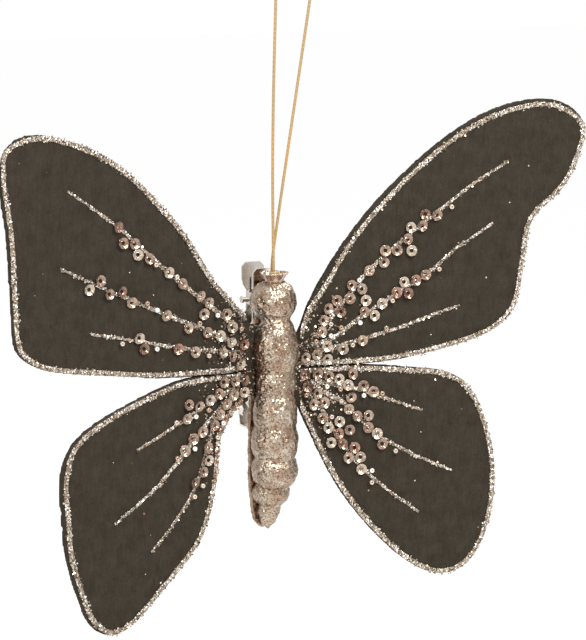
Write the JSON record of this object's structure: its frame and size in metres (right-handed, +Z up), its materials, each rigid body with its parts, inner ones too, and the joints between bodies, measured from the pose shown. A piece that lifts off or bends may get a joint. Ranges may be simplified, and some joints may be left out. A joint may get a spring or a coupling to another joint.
{
  "type": "butterfly ornament",
  "caption": "Velvet butterfly ornament with glitter edges, sequined veins, a segmented champagne body, a hanging thread and a spring clip on its back",
  "frame": {"origin": "the middle of the crown's mouth on top of the head, where the hanging thread comes out", "axes": "+Z up along the body and the thread, -Y is the decorated face, +X is the viewer's right, wing tip to wing tip"},
  "size_m": [0.2017, 0.0296, 0.2034],
  "materials": {
    "velvet": "short-pile velvet",
    "card": "stiff card",
    "wire": "soft iron wire",
    "glitter": "champagne and silver glitter",
    "sequin": "metallized champagne and rose",
    "bead": "metallized",
    "body_foil": "crackled champagne metallizing with fine glitter",
    "crown_metal": "thin bright sheet",
    "thread": "glossy amber cord",
    "glue": "set hot-melt glue",
    "clip_steel": "nickel plated"
  },
  "bodies": {
    "body": {"body_shell": "body_foil", "back_plate": "body_foil", "crown": "crown_metal", "thread_knot": "thread", "hanging_thread": "thread", "root_wires": "wire", "glue_pad": "glue", "clip_base": "clip_steel", "clip_pin": "clip_steel", "clip_spring": "clip_steel"},
    "upper_left_wing": {"upper_left_velvet_front": "velvet", "upper_left_velvet_back": "velvet", "upper_left_edge_wire": "wire", "upper_left_core_card": "card", "upper_left_edge_piping": "glitter", "upper_left_veins": "glitter", "upper_left_sequins": "sequin", "upper_left_beads": "bead"},
    "upper_right_wing": {"upper_right_velvet_front": "velvet", "upper_right_velvet_back": "velvet", "upper_right_edge_wire": "wire", "upper_right_core_card": "card", "upper_right_edge_piping": "glitter", "upper_right_veins": "glitter", "upper_right_sequins": "sequin", "upper_right_beads": "bead"},
    "lower_left_wing": {"lower_left_velvet_front": "velvet", "lower_left_velvet_back": "velvet", "lower_left_edge_wire": "wire", "lower_left_core_card": "card", "lower_left_edge_piping": "glitter", "lower_left_veins": "glitter", "lower_left_sequins": "sequin", "lower_left_beads": "bead"},
    "lower_right_wing": {"lower_right_velvet_front": "velvet", "lower_right_velvet_back": "velvet", "lower_right_edge_wire": "wire", "lower_right_core_card": "card", "lower_right_edge_piping": "glitter", "lower_right_veins": "glitter", "lower_right_sequins": "sequin", "lower_right_beads": "bead"},
    "clip_lever_and_jaw": {"clip_jaw": "clip_steel"}
  },
  "joints": [
    {"name": "upper_left_bend", "type": "hinge", "parent": "body", "child": "upper_left_wing", "pos_m": [-0.00752, 0.00209, -0.0308], "axis": [0, 0, 1], "range_deg": [-20, 25]},
    {"name": "upper_right_bend", "type": "hinge", "parent": "body", "child": "upper_right_wing", "pos_m": [0.00752, 0.00209, -0.0308], "axis": [0, 0, -1], "range_deg": [-20, 25]},
    {"name": "lower_left_bend", "type": "hinge", "parent": "body", "child": "lower_left_wing", "pos_m": [-0.00752, 0.00209, -0.0308], "axis": [0, 0, 1], "range_deg": [-20, 25]},
    {"name": "lower_right_bend", "type": "hinge", "parent": "body", "child": "lower_right_wing", "pos_m": [0.00752, 0.00209, -0.0308], "axis": [0, 0, -1], "range_deg": [-20, 25]},
    {"name": "clip_squeeze", "type": "hinge", "parent": "body", "child": "clip_lever_and_jaw", "pos_m": [0, 0.0118, -0.0101], "axis": [1, 0, 0], "range_deg": [0, 28], "stiffness_Nm_per_rad": 0.12, "springref_deg": -28.65, "deforming": ["clip_spring"]}
  ]
}
